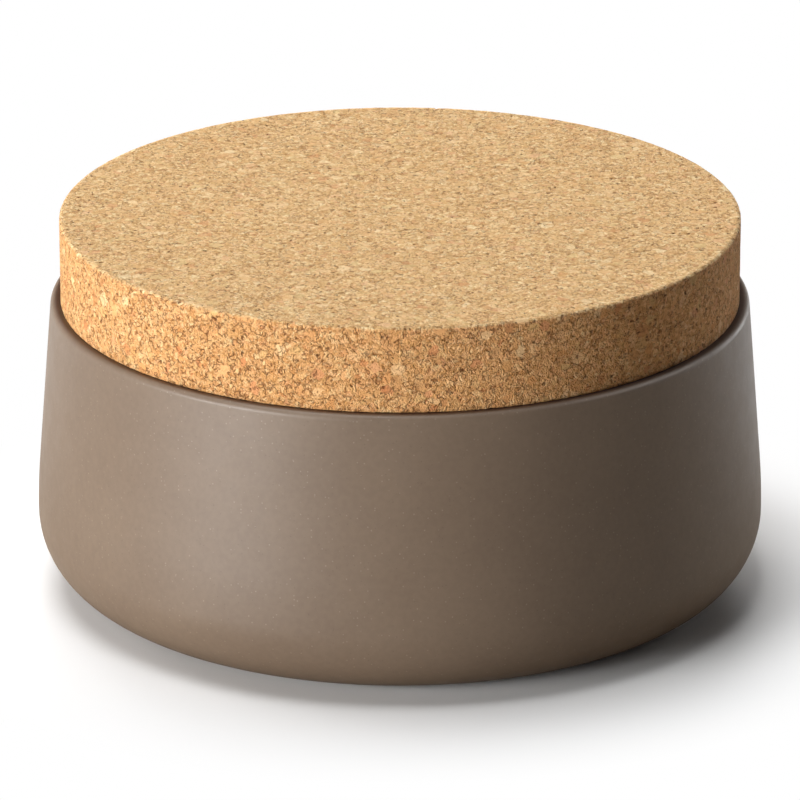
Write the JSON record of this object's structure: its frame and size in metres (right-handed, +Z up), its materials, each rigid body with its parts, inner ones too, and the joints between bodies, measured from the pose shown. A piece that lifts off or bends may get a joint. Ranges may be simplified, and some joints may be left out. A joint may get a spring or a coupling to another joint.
{
  "type": "ceramic canister",
  "caption": "Low round stoneware jar with a slightly tapered wall, a wide round foot corner and a thick cork disc lid that plugs its mouth.",
  "frame": {"origin": "centre of the foot, on the surface the jar stands on", "axes": "+Z up along the axis the jar and its lid are turned about; X and Y are alike"},
  "size_m": [0.172, 0.172, 0.0903],
  "materials": {
    "stoneware": "matte",
    "cork": "matte"
  },
  "bodies": {
    "root": {"jar_body": "stoneware", "cork_lid": "cork"}
  },
  "joints": []
}
